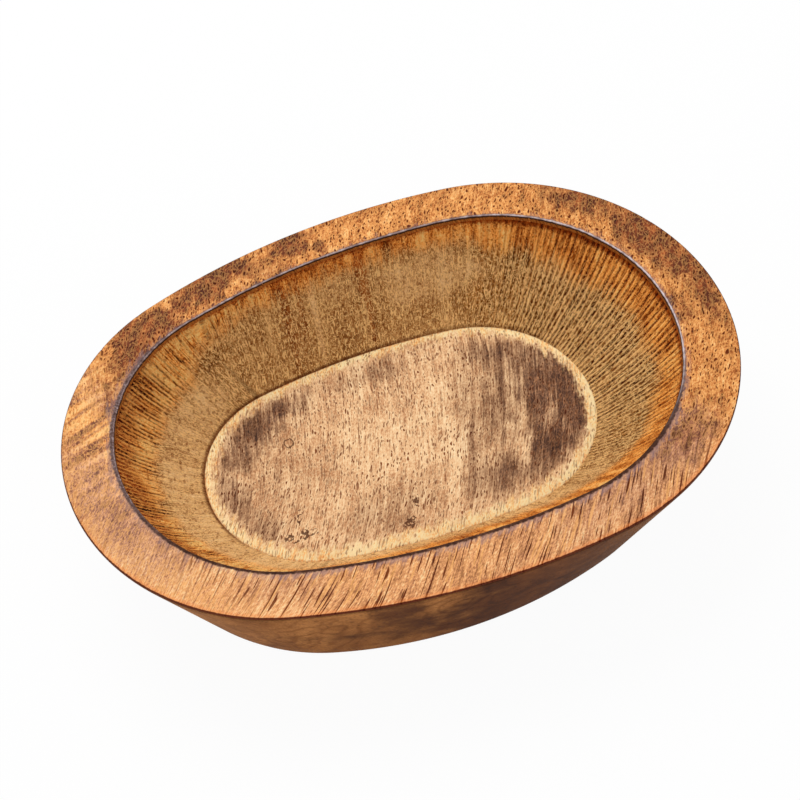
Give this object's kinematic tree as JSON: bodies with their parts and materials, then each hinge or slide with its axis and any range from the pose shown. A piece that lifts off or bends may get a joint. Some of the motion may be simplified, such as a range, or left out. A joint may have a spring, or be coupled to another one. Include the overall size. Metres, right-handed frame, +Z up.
{
  "type": "dough bowl",
  "caption": "Oval dough bowl carved from solid wood, with a flat rim, a rounded lip, a coved hollow with a flat floor and an outside that tapers to a flat base",
  "frame": {"origin": "middle of the flat base's height 0 plane, under the centre of the bowl's bounding box", "axes": "+X along the bowl's length towards its broad end, +Y across its width towards the back, +Z up out of the hollow"},
  "size_m": [0.254, 0.179, 0.051],
  "materials": {
    "wood": "satin oiled wood with scorched patches on the rim and the floor and a tool-marked hollow"
  },
  "bodies": {
    "root": {"bowl": "wood"}
  },
  "joints": []
}
